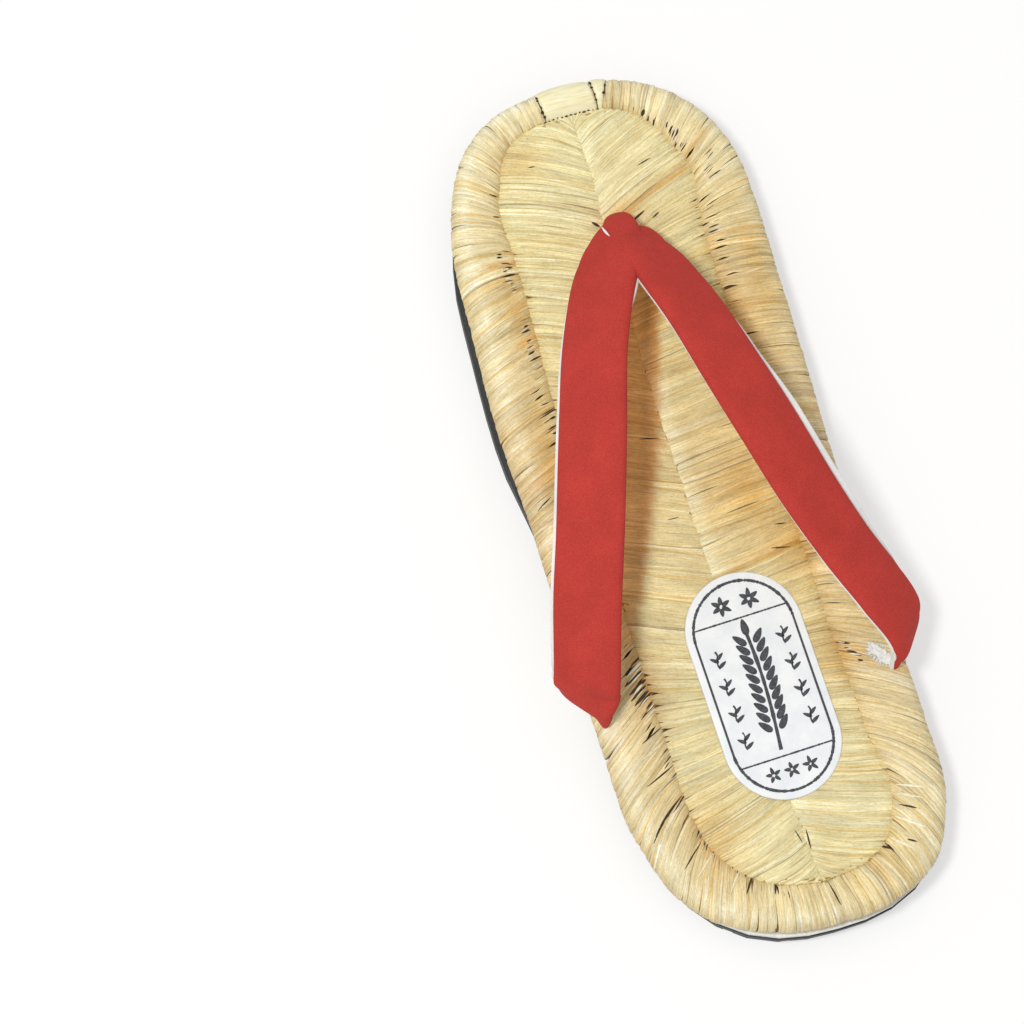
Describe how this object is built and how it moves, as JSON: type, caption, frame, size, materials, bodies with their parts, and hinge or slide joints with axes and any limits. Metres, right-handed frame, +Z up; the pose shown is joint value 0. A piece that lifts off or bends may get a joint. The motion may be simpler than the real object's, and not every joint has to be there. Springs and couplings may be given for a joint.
{
  "type": "zori sandal",
  "caption": "Flat straw thong sandal with a bound edge roll, a grooved rubber sole, and a padded cloth strap in a V held by a front thong.",
  "frame": {"origin": "bottom centre of the sandal's bounding box, on the floor", "axes": "+Y from heel to toe, +X to the right seen from above, +Z up"},
  "size_m": [0.1083, 0.2711, 0.057],
  "materials": {
    "rubber": "worn black tyre rubber",
    "sponge": "white foam sheet",
    "straw": "woven rice straw",
    "binding": "smooth pale sheath",
    "red_cloth": "matt red felted cloth",
    "white_cloth": "white woven cloth",
    "paper": "satin white paper"
  },
  "bodies": {
    "root": {"outsole": "rubber", "midsole": "sponge", "straw_body": "straw", "toe_wrap": "binding", "straps": "red_cloth", "front_thong": "red_cloth", "strap_lining_left": "white_cloth", "strap_lining_right": "white_cloth", "label": "paper"}
  },
  "joints": []
}
